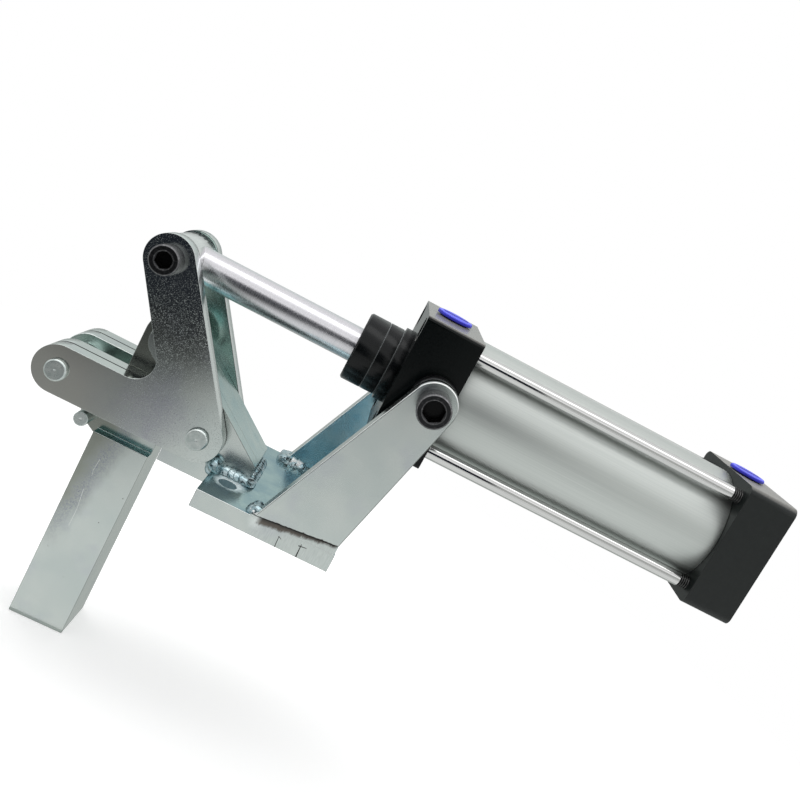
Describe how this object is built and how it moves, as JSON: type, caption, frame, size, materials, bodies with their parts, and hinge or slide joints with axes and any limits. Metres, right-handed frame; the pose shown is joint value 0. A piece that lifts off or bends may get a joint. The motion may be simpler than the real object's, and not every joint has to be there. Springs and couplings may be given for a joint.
{
  "type": "pneumatic toggle clamp",
  "caption": "Heavy welded toggle clamp worked by an air cylinder: bell-crank levers and links swing a square clamp arm down and lock it at dead centre.",
  "frame": {"origin": "middle of the base plate's underside, where the clamp is bolted down", "axes": "+Z square to the base plate and away from its underside, +X along the cylinder towards its end cap, -Y towards the front"},
  "size_m": [0.3968, 0.1342, 0.264],
  "materials": {
    "zinc_plate": "bright zinc plate, lightly scratched",
    "weld_metal": "rippled weld metal, zinc plated",
    "pin_steel": "turned steel, zinc plated",
    "black_screw": "black oxide, satin",
    "black_cover": "black anodised, satin",
    "tube_aluminium": "satin anodised",
    "chrome_rod": "hard chrome, polished",
    "tie_rod_steel": "drawn bright steel",
    "blue_plug": "moulded, smooth",
    "seal_rubber": "black nitrile",
    "bronze_bush": "sintered bronze",
    "wear_plastic": "filled plastic",
    "turned_aluminium": "bare, turned"
  },
  "bodies": {
    "frame": {"base_plate": "zinc_plate", "frame_side_front": "zinc_plate", "frame_side_rear": "zinc_plate", "frame_web": "zinc_plate", "frame_welds": "weld_metal", "bracket_front": "zinc_plate", "bracket_rear": "zinc_plate", "bracket_welds": "weld_metal", "arm_pivot_pin": "pin_steel", "lever_pivot_pin": "pin_steel"},
    "levers": {"lever_front": "zinc_plate", "lever_rear": "zinc_plate", "link_pin": "pin_steel", "lever_screws": "black_screw"},
    "links": {"link_front": "zinc_plate", "link_rear": "zinc_plate", "link_spacer": "pin_steel", "arm_link_pin_ends": "pin_steel"},
    "arm": {"clamp_arm": "zinc_plate", "arm_link_pin": "pin_steel", "stop_pin": "pin_steel"},
    "cylinder": {"cylinder_head": "black_cover", "rod_gland": "black_cover", "rod_bush": "bronze_bush", "rod_wiper": "seal_rubber", "rod_seal": "seal_rubber", "cylinder_tube": "tube_aluminium", "tube_seals": "seal_rubber", "end_cap": "black_cover", "tie_rods": "tie_rod_steel", "tie_rod_nuts": "black_screw", "port_plug_head": "blue_plug", "port_plug_cap": "blue_plug", "trunnion_spacers": "black_screw", "trunnion_screws": "black_screw"},
    "rod": {"piston_rod": "chrome_rod", "rod_eye": "zinc_plate", "rod_eye_pin": "pin_steel", "piston": "turned_aluminium", "piston_seals": "seal_rubber", "wear_ring": "wear_plastic", "cushion_sleeves": "pin_steel"}
  },
  "joints": [
    {"name": "lever_swing", "type": "hinge", "parent": "frame", "child": "levers", "pos_m": [-0.0525, 0, 0.0245], "axis": [0, 1, 0], "range_deg": [0, 57]},
    {"name": "link_swing", "type": "hinge", "parent": "levers", "child": "links", "pos_m": [-0.1325, 0, 0.0245], "axis": [0, 1, 0], "range_deg": [0, 76.2]},
    {"name": "arm_swing", "type": "hinge", "parent": "frame", "child": "arm", "pos_m": [-0.0895, 0, 0.0605], "axis": [0, 1, 0], "range_deg": [0, 89.6]},
    {"name": "cylinder_swing", "type": "hinge", "parent": "frame", "child": "cylinder", "pos_m": [0.047, 0, 0.1035], "axis": [0, 1, 0], "range_deg": [0, 7.7]},
    {"name": "rod_slide", "type": "slide", "parent": "cylinder", "child": "rod", "axis": [1, 0, 0], "range_m": [0, 0.0898]}
  ],
  "couplings": [
    {"joint": "link_swing", "follows": "lever_swing", "ratio": 1.3366},
    {"joint": "arm_swing", "follows": "lever_swing", "ratio": 1.5717},
    {"joint": "cylinder_swing", "follows": "lever_swing", "ratio": 0.13345},
    {"joint": "rod_slide", "follows": "lever_swing", "m_per_rad": 0.090197}
  ]
}
